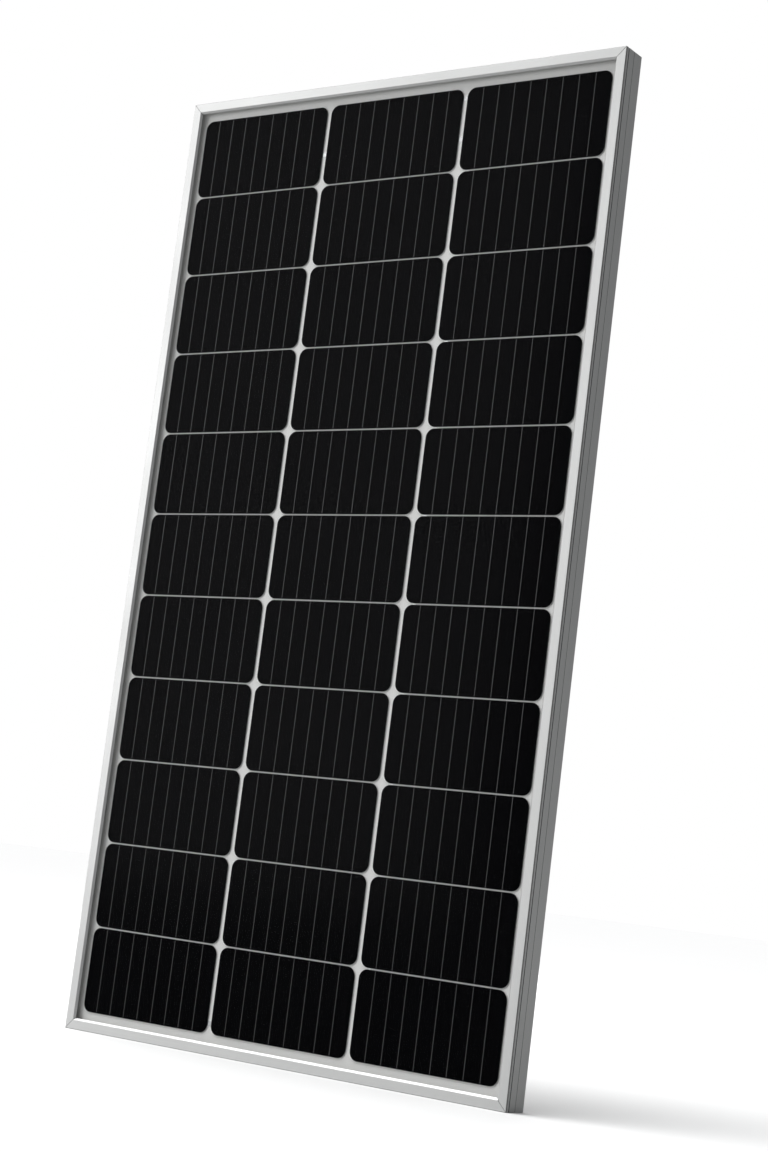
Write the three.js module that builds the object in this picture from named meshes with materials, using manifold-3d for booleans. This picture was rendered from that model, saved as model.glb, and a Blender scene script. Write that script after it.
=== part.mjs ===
// A framed 12 V photovoltaic panel: three strings of eleven cut cells under glass, in a mitred
// aluminium frame, with a hinged-lid junction box on its back.
// Millimetres. +X to the viewer's right, +Y from the glass to the back, +Z up the panel's length.
// The origin is the middle of the bottom edge, so the panel stands on z = 0.

import * as THREE from 'three';
import { mergeVertices } from 'three/addons/utils/BufferGeometryUtils.js';
import Module from 'manifold-3d';

const wasm = await Module();
wasm.setup();

// ---------------------------------------------------------------- driving dimensions

const PANEL_W = 540;
const PANEL_H = 1000;
const PANEL_D = 30;

const CELL_COLUMNS = ['left', 'middle', 'right'];
const CELL_ROWS = 11;
const CELL_W = 166;
const CELL_H = 86;
const CELL_CORNER_R = 9;
const COLUMN_GAP = 5;
const ROW_GAP = 1.5;

// The frame's section: u runs inwards from its outer face, v back from its front face.
const WALL = 1.5;
const LIP_FLAT = 9.5;
const LIP_BEVEL = 2;
const LIP_W = LIP_FLAT + LIP_BEVEL;
const LIP_T = 2;
const GROOVE_V = 8.2; // the laminate's groove ends at this shelf
const CHAMBER_W = 11;
const CHAMBER_END_V = 21.7;
const FLANGE_W = 25;
const EDGE_CHAMFER = 0.4;
const FACE_GROOVES = [
  { v: 1.2, width: 1.0, depth: 0.5 },
  { v: 5.0, width: 1.6, depth: 0.6 },
  { v: 15.5, width: 0.8, depth: 0.3 },
];
const MITRE_GAP = 0.2; // each mitred end stops this far short, along the rail

// The laminate's layers, front to back.
const LAYER_GAP = 0.05;
const SEAL_T = 0.5;
const GLASS_T = 3.2;
const ENCAPSULANT_T = 0.4;
const CELL_T = 0.2;
const RIBBON_T = 0.2;
const BACKSHEET_T = 0.3;
const LAMINATE_EDGE_U = 2.6; // the laminate's edge, inside the frame's outer face

const RIBBON_W = 5;
const RIBBON_INSET = 10; // a bus ribbon stops this far inside its end cells
const RIBBON_EXIT_Z = 925; // where three ribbons go back through the backsheet
const RIBBON_SLOT = { width: 7, height: 3 };
const FOLD_LENGTH = 12;
const TERMINAL_PITCH = 35;

// The cast keys in the frame's corners.
const KEY_CLEARANCE = 0.3;
const KEY_LEG = 38;
const KEY_NOTCH = { pitch: 6, width: 1.6, depth: 1.2, count: 4 };

// Holes in the back flange.
const MOUNT_SLOT = { width: 9, length: 14, along: [250, 750] };
const BRACKET_HOLE = { width: 7, length: 7, along: [400, 600] };
const EARTH_HOLE = { width: 4.5, length: 4.5, along: [500] };
const DRAIN_SLOT = { width: 4, length: 10, fromEnd: 60 };
const HOLE_U = 14;

// The junction box: its walls' outside, centred on the panel.
const BOX_W = 105;
const BOX_BOTTOM_Z = 857;
const BOX_TOP_Z = 939;
const BOX_WALL = 2.2;
const BOX_CORNER_R = 5;
const BOX_FLOOR = 2;
const BOX_FOOT = 5; // the glued foot stands out this far all round
const BOX_FOOT_T = 1.6;
const ADHESIVE_T = 0.6;
const BOX_RIM_Y = 8; // where the walls end
const LID_T = 2.4;
const LID_SKIRT = 1.8;
const LID_CLEARANCE = 0.4;
const LID_BACK_Y = 12.4;
const LID_SKIRT_Y = 5;
const LID_RECESS = { halfW: 38, z0: 872, z1: 912, r: 3, depth: 0.5 };
const LID_RIB = { count: 5, pitch: 4, width: 1.4, halfW: 30, z: 921, height: 0.6 };
const SEAL_RING_T = 1.7;

// Inside the box.
const FLOOR_WINDOW = { half: 42, z0: 920, z1: 930 };
const POST = { width: 12, depth: 6, height: 1.6, z: [888, 910] };
const BARRIER = { width: 1.2, height: 4.6, z0: 905, z1: 917 }; // between two terminals
const TERMINAL = { halfW: 9, z0: 884, z1: 917, r: 1.5 };
const TERMINAL_T = 1;
const CRIMP = { reach: 4, thick: 1, height: 5, length: 8 };
const DIODE = { r: 2.7, halfLength: 4.75, lift: 2.4 };
const DIODE_Z = 900;
const LEAD_R = 0.65;
const LEAD_REACH = 14.5; // from the diode's middle to the end of a lead
const SADDLE = { near: 11, far: 14.5, depth: 3 }; // from the diode's middle, along its lead

const HINGE_Y = 6;
const HINGE_Z = 945;
const HINGE_PIN_R = 1.8;
const HINGE_BORE_R = 2.1;
const HINGE_KNUCKLE_R = 3.4;
const HINGE_CENTRES = [-30, 30];
const BRACKET_W = 8;
const LUG_W = 3;
const LUG_GAP = 0.5;
const RELIEF_DROP = 4.6; // how far down the lid's back the cut above each lug reaches
const SNAP_MOUTH = 3;

const LATCH_CENTRES = [-12, 12];
const LATCH_W = 9;
const CATCH = { depth: 0.8, y0: 0.5, y1: 3.5, halfW: 2.5 };

const GLAND_CENTRES = [-TERMINAL_PITCH, TERMINAL_PITCH];
const GLAND_Y = 1.5;
const SPIGOT_R = 5.5;
const COLLAR_R = 6.7; // where a spigot meets the box's wall
const SPIGOT_END_Z = 842;
const CABLE_BORE_R = 3.4;
const NUT_FLATS = 14;
const NUT_TOP_Z = 850;
const NUT_SHOULDER_Z = 841;
const NUT_NOSE_Z = 836;
const NUT_CLEARANCE = 0.35;

const GRID = 1 / 4096; // solids' corners are rounded to this
const ARC_STEPS = 3; // an outline's arc has twice this many segments
const ROUND_STEPS = 24; // segments round a turned piece

// ---------------------------------------------------------------- places worked out from them

const FRONT_Y = -PANEL_D / 2;
const GLASS_Y = FRONT_Y + LIP_T + LAYER_GAP + SEAL_T + LAYER_GAP;
const FRONT_ENCAPSULANT_Y = GLASS_Y + GLASS_T + LAYER_GAP;
const CELL_Y = FRONT_ENCAPSULANT_Y + ENCAPSULANT_T + LAYER_GAP;
const REAR_ENCAPSULANT_Y = CELL_Y + CELL_T + LAYER_GAP;
const RIBBON_Y = REAR_ENCAPSULANT_Y + ENCAPSULANT_T + LAYER_GAP;
const BACKSHEET_Y = RIBBON_Y + RIBBON_T + LAYER_GAP;
const BACKSHEET_BACK_Y = BACKSHEET_Y + BACKSHEET_T;

const COLUMN_PITCH = CELL_W + COLUMN_GAP;
const ROW_PITCH = CELL_H + ROW_GAP;
const CELLS_H = CELL_ROWS * ROW_PITCH - ROW_GAP;
const CELLS_BOTTOM_Z = (PANEL_H - CELLS_H) / 2;
const CELLS_TOP_Z = CELLS_BOTTOM_Z + CELLS_H;
const TOP_BUS_Z = CELLS_TOP_Z - RIBBON_INSET;
const BOTTOM_BUS_Z = CELLS_BOTTOM_Z + RIBBON_INSET;

const BOX_BACKSHEET_Y = BACKSHEET_BACK_Y + ADHESIVE_T;
const BOX_FLOOR_Y = BOX_BACKSHEET_Y + BOX_FLOOR;
const TERMINAL_Y = BOX_FLOOR_Y + POST.height;
const DIODE_Y = TERMINAL_Y + TERMINAL_T + DIODE.lift;
const FOLD_Y = TERMINAL_Y + TERMINAL_T + LAYER_GAP;

const SEAL_FRONT_Y = FRONT_Y + LIP_T + LAYER_GAP;
const SEAL_BACK_Y = FRONT_Y + GROOVE_V - LAYER_GAP;
const SEAL_OUTER_U = WALL + LAYER_GAP;
const SEAL_FRONT_U = LIP_W - 0.5;
const SEAL_BACK_U = CHAMBER_W - 0.5;

const SKIRT_GROW = LID_CLEARANCE + LID_SKIRT; // how far the lid stands out from the box's walls
const SEAL_RING_BACK_Y = LID_BACK_Y - LID_T - 0.1;
const TONGUE = { z0: BOX_BOTTOM_Z - 3, z1: BOX_BOTTOM_Z - CATCH.depth - 0.3, y: -1.5 };
const TONGUE_WINDOW = { half: CATCH.halfW + 0.4, y0: CATCH.y0 - 0.5, y1: CATCH.y1 + 0.3 };
const NUT_COLLAR_R = NUT_FLATS / 2 - 0.3;

// ---------------------------------------------------------------- materials

const finish = (color, roughness, metalness = 0) =>
  new THREE.MeshStandardMaterial({ color, roughness, metalness });

const MATERIALS = {
  anodised: finish(0xd9dad8, 0.38, 0.85),
  castKey: finish(0xa9abad, 0.5, 0.8),
  seal: finish(0xe8e8e4, 0.7),
  glass: new THREE.MeshStandardMaterial({
    color: 0xf4f8f7, roughness: 0.12, transparent: true, opacity: 0.12,
  }),
  encapsulant: new THREE.MeshStandardMaterial({
    color: 0xffffff, roughness: 0.3, transparent: true, opacity: 0.1,
  }),
  cell: finish(0x0b0b0d, 0.32, 0.1),
  ribbon: finish(0xb9bbbd, 0.35, 0.9),
  backsheet: finish(0xe9e9e6, 0.55),
  boxPlastic: finish(0x17181a, 0.6),
  rubber: finish(0x101010, 0.85),
  terminal: finish(0xc2c4c4, 0.3, 0.95),
  diode: finish(0x1d1d1f, 0.45),
};

// ---------------------------------------------------------------- geometry helpers

// A closed three.js geometry as a solid that can be joined and cut. Its corners are rounded to a
// fine grid, so that faces that should be flush with each other are exactly flush.

function solidOf(geometry) {
  const bare = geometry.clone();
  bare.deleteAttribute('normal');
  bare.deleteAttribute('uv');
  const corners = bare.attributes.position.array;
  corners.forEach((value, i) => {
    corners[i] = Math.round(value / GRID) * GRID;
  });
  const merged = mergeVertices(bare, 1e-4);
  return new wasm.Manifold(new wasm.Mesh({
    numProp: 3,
    vertProperties: merged.attributes.position.array,
    triVerts: new Uint32Array(merged.index.array),
  }));
}

// The solid's surface as a three.js geometry.
function geometryOf(solid) {
  const mesh = solid.getMesh();
  const geometry = new THREE.BufferGeometry();
  geometry.setAttribute('position', new THREE.BufferAttribute(mesh.vertProperties, mesh.numProp));
  geometry.setIndex(new THREE.BufferAttribute(mesh.triVerts, 1));
  return geometry;
}

// Joins the first list of geometries and cuts the second list out of them.
function shaped(joined, cut = []) {
  let solid = joined.map(solidOf).reduce((a, b) => a.add(b));
  for (const tool of cut) {
    solid = solid.subtract(solidOf(tool));
  }
  return geometryOf(solid);
}

function block(x0, x1, y0, y1, z0, z1) {
  return new THREE.BoxGeometry(x1 - x0, y1 - y0, z1 - z0)
    .translate((x0 + x1) / 2, (y0 + y1) / 2, (z0 + z1) / 2);
}

// Extrudes an outline drawn in X and Z from y0 back to y1.
function plate(outline, y0, y1) {
  return new THREE.ExtrudeGeometry(outline, {
    depth: y1 - y0, bevelEnabled: false, curveSegments: ARC_STEPS,
  }).rotateX(Math.PI / 2).translate(0, y1, 0);
}

// Extrudes an outline given as [y, z] corners from x0 to x1.
function sectionX(corners, x0, x1) {
  const outline = new THREE.Shape(corners.map(([y, z]) => new THREE.Vector2(y, z)));
  return new THREE.ExtrudeGeometry(outline, { depth: x1 - x0, bevelEnabled: false })
    .applyMatrix4(new THREE.Matrix4().set(
      0, 0, 1, x0,
      1, 0, 0, 0,
      0, 1, 0, 0,
      0, 0, 0, 1));
}

function rectangle(x0, x1, z0, z1) {
  return new THREE.Shape()
    .moveTo(x0, z0)
    .lineTo(x1, z0)
    .lineTo(x1, z1)
    .lineTo(x0, z1);
}

function roundedRectangle(x0, x1, z0, z1, r) {
  return new THREE.Shape()
    .moveTo(x0 + r, z0)
    .lineTo(x1 - r, z0)
    .absarc(x1 - r, z0 + r, r, -Math.PI / 2, 0)
    .lineTo(x1, z1 - r)
    .absarc(x1 - r, z1 - r, r, 0, Math.PI / 2)
    .lineTo(x0 + r, z1)
    .absarc(x0 + r, z1 - r, r, Math.PI / 2, Math.PI)
    .lineTo(x0, z0 + r)
    .absarc(x0 + r, z0 + r, r, Math.PI, 1.5 * Math.PI);
}

// A slot with round ends, its length along Z; a round hole where length equals width.
function slotOutline(x, z, width, length) {
  const r = width / 2;
  const half = (length - width) / 2;
  return new THREE.Shape()
    .absarc(x, z + half, r, 0, Math.PI)
    .absarc(x, z - half, r, Math.PI, 2 * Math.PI);
}

// A flat frame between two insets from the panel's outline.
function ring(outerU, innerU, y0, y1) {
  const outline = rectangle(-PANEL_W / 2 + outerU, PANEL_W / 2 - outerU, outerU, PANEL_H - outerU);
  outline.holes.push(
    rectangle(-PANEL_W / 2 + innerU, PANEL_W / 2 - innerU, innerU, PANEL_H - innerU));
  return plate(outline, y0, y1);
}

// A round bar along X or along Z.
function barX(r, x0, x1, y, z) {
  return new THREE.CylinderGeometry(r, r, x1 - x0, ROUND_STEPS)
    .rotateZ(Math.PI / 2).translate((x0 + x1) / 2, y, z);
}

function barZ(r, x, y, z0, z1) {
  return new THREE.CylinderGeometry(r, r, z1 - z0, ROUND_STEPS)
    .rotateX(Math.PI / 2).translate(x, y, (z0 + z1) / 2);
}

// ---------------------------------------------------------------- assembly

const panel = new THREE.Group();

function add(name, geometry, material) {
  const mesh = new THREE.Mesh(geometry, material);
  mesh.name = name;
  panel.add(mesh);
  return mesh;
}

// ---------------------------------------------------------------- frame

// The extruded section: front lip with a bevelled inner edge, groove for the laminate, closed
// chamber for the corner keys, and the back flange.
function railSection() {
  const section = new THREE.Shape()
    .moveTo(EDGE_CHAMFER, 0)
    .lineTo(LIP_FLAT, 0)
    .lineTo(LIP_W, LIP_T)
    .lineTo(WALL, LIP_T)
    .lineTo(WALL, GROOVE_V)
    .lineTo(CHAMBER_W, GROOVE_V)
    .lineTo(CHAMBER_W, CHAMBER_END_V)
    .lineTo(WALL, CHAMBER_END_V)
    .lineTo(WALL, PANEL_D - WALL)
    .lineTo(FLANGE_W, PANEL_D - WALL)
    .lineTo(FLANGE_W, PANEL_D)
    .lineTo(EDGE_CHAMFER, PANEL_D)
    .lineTo(0, PANEL_D - EDGE_CHAMFER);
  for (const { v, width, depth } of [...FACE_GROOVES].reverse()) {
    section.lineTo(0, v + width / 2)
      .lineTo(depth, v + width / 4)
      .lineTo(depth, v - width / 4)
      .lineTo(0, v - width / 2);
  }
  section.lineTo(0, EDGE_CHAMFER);
  section.holes.push(
    rectangle(WALL, CHAMBER_W - WALL, GROOVE_V + WALL, CHAMBER_END_V - WALL));
  return section;
}

// One rail along +Z, its section in X (u) and Y (v), both ends cut back at 45 degrees.
function mitredRail(length) {
  const rail = new THREE.ExtrudeGeometry(railSection(), { depth: length, bevelEnabled: false });
  const position = rail.attributes.position;
  for (let i = 0; i < position.count; i++) {
    const cut = position.getX(i) + MITRE_GAP;
    position.setZ(i, position.getZ(i) === 0 ? cut : length - cut);
  }
  return rail;
}

function flangeCutters({ width, length, along }) {
  return along.map((z) =>
    plate(slotOutline(HOLE_U, z, width, length), PANEL_D - 2 * WALL, PANEL_D + WALL));
}

function addRail(name, length, cutters, turn, x, z) {
  const mesh = add(name, shaped([mitredRail(length)], cutters), MATERIALS.anodised);
  mesh.rotation.y = turn;
  mesh.position.set(x, FRONT_Y, z);
}

const longCutters = [MOUNT_SLOT, BRACKET_HOLE, EARTH_HOLE].flatMap(flangeCutters);
const drainCutters = flangeCutters({
  ...DRAIN_SLOT, along: [DRAIN_SLOT.fromEnd, PANEL_W - DRAIN_SLOT.fromEnd],
});
addRail('frame_rail_left', PANEL_H, longCutters, 0, -PANEL_W / 2, 0);
addRail('frame_rail_right', PANEL_H, longCutters, Math.PI, PANEL_W / 2, PANEL_H);
addRail('frame_rail_top', PANEL_W, drainCutters, Math.PI / 2, -PANEL_W / 2, PANEL_H);
addRail('frame_rail_bottom', PANEL_W, drainCutters, -Math.PI / 2, PANEL_W / 2, 0);

// An L of cast aluminium that sits in the chambers of two rails, with notched inner edges where
// the rails are pressed on to it.
function cornerKeyOutline() {
  const near = WALL + KEY_CLEARANCE;
  const far = CHAMBER_W - WALL - KEY_CLEARANCE;
  const outline = new THREE.Shape().moveTo(near, near).lineTo(near + KEY_LEG, near);
  const notchAt = (i) => near + KEY_LEG - KEY_NOTCH.pitch * (i + 1);
  outline.lineTo(near + KEY_LEG, far);
  for (let i = 0; i < KEY_NOTCH.count; i++) {
    outline.lineTo(notchAt(i) + KEY_NOTCH.width, far)
      .lineTo(notchAt(i) + KEY_NOTCH.width / 2, far - KEY_NOTCH.depth)
      .lineTo(notchAt(i), far);
  }
  outline.lineTo(far, far);
  for (let i = KEY_NOTCH.count - 1; i >= 0; i--) {
    outline.lineTo(far, notchAt(i))
      .lineTo(far - KEY_NOTCH.depth, notchAt(i) + KEY_NOTCH.width / 2)
      .lineTo(far, notchAt(i) + KEY_NOTCH.width);
  }
  return outline.lineTo(far, near + KEY_LEG).lineTo(near, near + KEY_LEG);
}

const KEY_CORNERS = {
  corner_key_bottom_left: { turn: 0, x: -PANEL_W / 2, z: 0 },
  corner_key_bottom_right: { turn: -Math.PI / 2, x: PANEL_W / 2, z: 0 },
  corner_key_top_right: { turn: Math.PI, x: PANEL_W / 2, z: PANEL_H },
  corner_key_top_left: { turn: Math.PI / 2, x: -PANEL_W / 2, z: PANEL_H },
};
for (const [name, { turn, x, z }] of Object.entries(KEY_CORNERS)) {
  const key = plate(cornerKeyOutline(),
    GROOVE_V + WALL + KEY_CLEARANCE, CHAMBER_END_V - WALL - KEY_CLEARANCE);
  const mesh = add(name, key, MATERIALS.castKey);
  mesh.rotation.y = turn;
  mesh.position.set(x, FRONT_Y, z);
}

// ---------------------------------------------------------------- laminate

// A sheet of the laminate's outline.
function laminateSheet(y, thickness) {
  const u = LAMINATE_EDGE_U;
  return block(-PANEL_W / 2 + u, PANEL_W / 2 - u, y, y + thickness, u, PANEL_H - u);
}

// The slots in the backsheet that the three ribbon ends come out of.
const ribbonSlots = [-TERMINAL_PITCH, 0, TERMINAL_PITCH].map((x) =>
  block(x - RIBBON_SLOT.width / 2, x + RIBBON_SLOT.width / 2,
    BACKSHEET_Y - 1, BACKSHEET_BACK_Y + 1,
    RIBBON_EXIT_Z - RIBBON_SLOT.height / 2, RIBBON_EXIT_Z + RIBBON_SLOT.height / 2));

// The seal folds round the laminate's edge and fills the frame's groove.
add('edge_seal', shaped([
  ring(SEAL_OUTER_U, SEAL_FRONT_U, SEAL_FRONT_Y, SEAL_FRONT_Y + SEAL_T),
  ring(SEAL_OUTER_U, LAMINATE_EDGE_U - LAYER_GAP, SEAL_FRONT_Y, SEAL_BACK_Y),
  ring(SEAL_OUTER_U, SEAL_BACK_U, BACKSHEET_BACK_Y + LAYER_GAP, SEAL_BACK_Y),
]), MATERIALS.seal);

add('front_glass', laminateSheet(GLASS_Y, GLASS_T), MATERIALS.glass);
add('front_encapsulant', laminateSheet(FRONT_ENCAPSULANT_Y, ENCAPSULANT_T),
  MATERIALS.encapsulant);
add('rear_encapsulant', laminateSheet(REAR_ENCAPSULANT_Y, ENCAPSULANT_T),
  MATERIALS.encapsulant);
add('backsheet', shaped([laminateSheet(BACKSHEET_Y, BACKSHEET_T)], ribbonSlots),
  MATERIALS.backsheet);

const columnX = (column) => (column - 1) * COLUMN_PITCH;

CELL_COLUMNS.forEach((side, column) => {
  for (let row = 0; row < CELL_ROWS; row++) {
    const x = columnX(column);
    const top = CELLS_TOP_Z - row * ROW_PITCH;
    const outline = roundedRectangle(
      x - CELL_W / 2, x + CELL_W / 2, top - CELL_H, top, CELL_CORNER_R);
    const name = `cell_${side}_${String(row + 1).padStart(2, '0')}`;
    add(name, plate(outline, CELL_Y, CELL_Y + CELL_T), MATERIALS.cell);
  }
});

// ---------------------------------------------------------------- ribbons behind the cells

function flatX(x0, x1, z) {
  return block(x0, x1, RIBBON_Y, RIBBON_Y + RIBBON_T, z - RIBBON_W / 2, z + RIBBON_W / 2);
}

function flatZ(x, z0, z1) {
  return block(x - RIBBON_W / 2, x + RIBBON_W / 2, RIBBON_Y, RIBBON_Y + RIBBON_T, z0, z1);
}

// The end of a ribbon: back through the backsheet and the box's floor, then folded down on to
// its terminal.
function foldedEnd(x) {
  const outside = RIBBON_EXIT_Z + RIBBON_T;
  return sectionX([
    [RIBBON_Y, RIBBON_EXIT_Z],
    [FOLD_Y, RIBBON_EXIT_Z],
    [FOLD_Y, RIBBON_EXIT_Z - FOLD_LENGTH],
    [FOLD_Y + RIBBON_T, RIBBON_EXIT_Z - FOLD_LENGTH],
    [FOLD_Y + RIBBON_T, outside],
    [RIBBON_Y, outside],
  ], x - RIBBON_W / 2, x + RIBBON_W / 2);
}

const cellEdge = (column, side) => columnX(column) + side * (CELL_W / 2 - RIBBON_INSET);
const leadX = cellEdge(1, 1) + 2 * RIBBON_INSET + COLUMN_GAP;

add('bus_ribbon_bottom', flatX(cellEdge(0, -1), cellEdge(1, 1), BOTTOM_BUS_Z), MATERIALS.ribbon);
add('bus_ribbon_top', shaped([
  flatX(cellEdge(1, -1), cellEdge(2, 1), TOP_BUS_Z),
  flatZ(0, RIBBON_EXIT_Z + RIBBON_T / 2, TOP_BUS_Z),
  foldedEnd(0),
]), MATERIALS.ribbon);
add('lead_ribbon_positive', shaped([
  flatX(cellEdge(0, -1), cellEdge(0, 1), TOP_BUS_Z),
  flatZ(-leadX, RIBBON_EXIT_Z, TOP_BUS_Z),
  flatX(-leadX - RIBBON_W / 2, -TERMINAL_PITCH + RIBBON_W / 2, RIBBON_EXIT_Z + RIBBON_W / 2),
  foldedEnd(-TERMINAL_PITCH),
]), MATERIALS.ribbon);
add('lead_ribbon_negative', shaped([
  flatX(cellEdge(2, -1), cellEdge(2, 1), BOTTOM_BUS_Z),
  flatZ(leadX, BOTTOM_BUS_Z, RIBBON_EXIT_Z + RIBBON_W),
  flatX(TERMINAL_PITCH - RIBBON_W / 2, leadX + RIBBON_W / 2, RIBBON_EXIT_Z + RIBBON_W / 2),
  foldedEnd(TERMINAL_PITCH),
]), MATERIALS.ribbon);

// ---------------------------------------------------------------- junction box base

const boxOutline = (grow, r = BOX_CORNER_R + grow) =>
  roundedRectangle(-BOX_W / 2 - grow, BOX_W / 2 + grow, BOX_BOTTOM_Z - grow, BOX_TOP_Z + grow, r);

// A clip on the box's top wall that the lid's pin snaps into from behind.
function hingeBracket(x) {
  const x0 = x - BRACKET_W / 2;
  const x1 = x + BRACKET_W / 2;
  return {
    joined: [
      block(x0, x1, BOX_BACKSHEET_Y, HINGE_Y, BOX_TOP_Z - 1, HINGE_Z + HINGE_KNUCKLE_R),
      barX(HINGE_KNUCKLE_R, x0, x1, HINGE_Y, HINGE_Z),
    ],
    cut: [
      barX(HINGE_BORE_R, x0 - 1, x1 + 1, HINGE_Y, HINGE_Z),
      block(x0 - 1, x1 + 1, HINGE_Y, HINGE_Y + 2 * HINGE_KNUCKLE_R,
        HINGE_Z - SNAP_MOUTH / 2, HINGE_Z + SNAP_MOUTH / 2),
    ],
  };
}

// The wedge on the box's bottom wall that a lid tongue snaps over.
function latchCatch(x) {
  return sectionX([
    [CATCH.y0, BOX_BOTTOM_Z + 0.5],
    [CATCH.y0, BOX_BOTTOM_Z - CATCH.depth],
    [CATCH.y1, BOX_BOTTOM_Z],
    [CATCH.y1, BOX_BOTTOM_Z + 0.5],
  ], x - CATCH.halfW, x + CATCH.halfW);
}

function boxBase() {
  const brackets = HINGE_CENTRES.map(hingeBracket);
  const joined = [
    plate(boxOutline(BOX_FOOT), BOX_BACKSHEET_Y, BOX_BACKSHEET_Y + BOX_FOOT_T),
    plate(boxOutline(0), BOX_BACKSHEET_Y, BOX_RIM_Y),
    ...GLAND_CENTRES.map((x) => barZ(SPIGOT_R, x, GLAND_Y, SPIGOT_END_Z, BOX_BOTTOM_Z + 1)),
    ...GLAND_CENTRES.map((x) => barZ(COLLAR_R, x, GLAND_Y, NUT_TOP_Z + 0.5, BOX_BOTTOM_Z + 1)),
    ...brackets.flatMap((b) => b.joined),
    ...LATCH_CENTRES.map(latchCatch),
  ];
  const cut = [
    plate(boxOutline(-BOX_WALL, BOX_CORNER_R - 2), BOX_FLOOR_Y, BOX_RIM_Y + 1),
    block(-FLOOR_WINDOW.half, FLOOR_WINDOW.half, BOX_BACKSHEET_Y - 1, BOX_FLOOR_Y + 1,
      FLOOR_WINDOW.z0, FLOOR_WINDOW.z1),
    ...GLAND_CENTRES.map((x) =>
      barZ(CABLE_BORE_R, x, GLAND_Y, SPIGOT_END_Z - 1, BOX_BOTTOM_Z + BOX_WALL + 1)),
    ...brackets.flatMap((b) => b.cut),
  ];
  const posts = [-1, 0, 1].flatMap((i) => POST.z.map((z) =>
    block(i * TERMINAL_PITCH - POST.width / 2, i * TERMINAL_PITCH + POST.width / 2,
      BOX_FLOOR_Y - 0.5, TERMINAL_Y - LAYER_GAP, z - POST.depth / 2, z + POST.depth / 2)));
  const barriers = [-0.5, 0.5].map((i) =>
    block(i * TERMINAL_PITCH - BARRIER.width / 2, i * TERMINAL_PITCH + BARRIER.width / 2,
      BOX_FLOOR_Y - 0.5, BOX_FLOOR_Y + BARRIER.height, BARRIER.z0, BARRIER.z1));
  return shaped([shaped(joined, cut), ...posts, ...barriers]);
}

add('junction_box_base', boxBase(), MATERIALS.boxPlastic);

// ---------------------------------------------------------------- lid, its seal and its hinge

// Two lugs and the pin between them, which turns in a bracket's clip.
function lidHinge(x) {
  const inner = BRACKET_W / 2 + LUG_GAP;
  const outer = inner + LUG_W;
  const lugs = [[x - outer, x - inner], [x + inner, x + outer]].flatMap(([x0, x1]) => [
    barX(HINGE_KNUCKLE_R, x0, x1, HINGE_Y, HINGE_Z),
    block(x0, x1, HINGE_Y, LID_BACK_Y, BOX_TOP_Z + LID_CLEARANCE + 0.5, HINGE_Z),
    block(x0, x1, HINGE_Y - HINGE_KNUCKLE_R / 2, HINGE_Y,
      BOX_TOP_Z + LID_CLEARANCE + 0.5, HINGE_Z),
  ]);
  return [...lugs, barX(HINGE_PIN_R, x - inner - 1, x + inner + 1, HINGE_Y, HINGE_Z)];
}

// Takes the corner off the lugs behind the pin, so that the lid's back stays round there.
function lugRelief(x) {
  const reach = BRACKET_W / 2 + LUG_GAP + LUG_W + 1;
  return sectionX([
    [LID_BACK_Y + 1, HINGE_Z + 1],
    [HINGE_Y + HINGE_KNUCKLE_R, HINGE_Z + 1],
    [HINGE_Y + HINGE_KNUCKLE_R, HINGE_Z],
    [LID_BACK_Y + 1, HINGE_Z - RELIEF_DROP],
  ], x - reach, x + reach);
}

// Lets the bracket through the lid's top skirt.
function bracketNotch(x) {
  const half = BRACKET_W / 2 + LUG_GAP;
  return block(x - half, x + half, LID_SKIRT_Y - 1, HINGE_Y + LUG_GAP,
    BOX_TOP_Z, BOX_TOP_Z + SKIRT_GROW + 1);
}

// Lets a gland's collar through the lid's bottom skirt.
function glandNotch(x) {
  return barZ(COLLAR_R + LUG_GAP, x, GLAND_Y, NUT_TOP_Z, BOX_BOTTOM_Z);
}

// A tongue from the lid's bottom skirt, with a window that takes the catch on the base. It stands
// just clear of the catch, as it does when it is lifted over it.
function lidTongue(x) {
  return block(x - LATCH_W / 2, x + LATCH_W / 2, TONGUE.y, LID_BACK_Y - 1, TONGUE.z0, TONGUE.z1);
}

function tongueWindow(x) {
  const { half, y0, y1 } = TONGUE_WINDOW;
  return block(x - half, x + half, y0, y1, TONGUE.z0 - 1, TONGUE.z1 + 1);
}

function boxLid() {
  const ribs = Array.from({ length: LID_RIB.count }, (_, i) => {
    const z = LID_RIB.z + (i - (LID_RIB.count - 1) / 2) * LID_RIB.pitch;
    return block(-LID_RIB.halfW, LID_RIB.halfW, LID_BACK_Y - 0.5, LID_BACK_Y + LID_RIB.height,
      z - LID_RIB.width / 2, z + LID_RIB.width / 2);
  });
  const { halfW, z0, z1, r, depth } = LID_RECESS;
  const shell = shaped([
    plate(boxOutline(SKIRT_GROW), LID_SKIRT_Y, LID_BACK_Y),
  ], [
    plate(boxOutline(LID_CLEARANCE), LID_SKIRT_Y - 1, LID_BACK_Y - LID_T),
    plate(roundedRectangle(-halfW, halfW, z0, z1, r), LID_BACK_Y - depth, LID_BACK_Y + 1),
    ...HINGE_CENTRES.map(bracketNotch),
    ...GLAND_CENTRES.map(glandNotch),
  ]);
  return shaped([
    shell, ...ribs, ...HINGE_CENTRES.flatMap(lidHinge), ...LATCH_CENTRES.map(lidTongue),
  ], [
    ...HINGE_CENTRES.map(lugRelief), ...LATCH_CENTRES.map(tongueWindow),
  ]);
}

add('junction_box_lid', boxLid(), MATERIALS.boxPlastic);

const sealOutline = boxOutline(-0.2, BOX_CORNER_R - 0.2);
sealOutline.holes.push(boxOutline(-BOX_WALL + 0.2, BOX_CORNER_R - 2));
add('lid_seal', plate(sealOutline, SEAL_RING_BACK_Y - SEAL_RING_T, SEAL_RING_BACK_Y),
  MATERIALS.rubber);

// ---------------------------------------------------------------- terminals and bypass diodes

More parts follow.
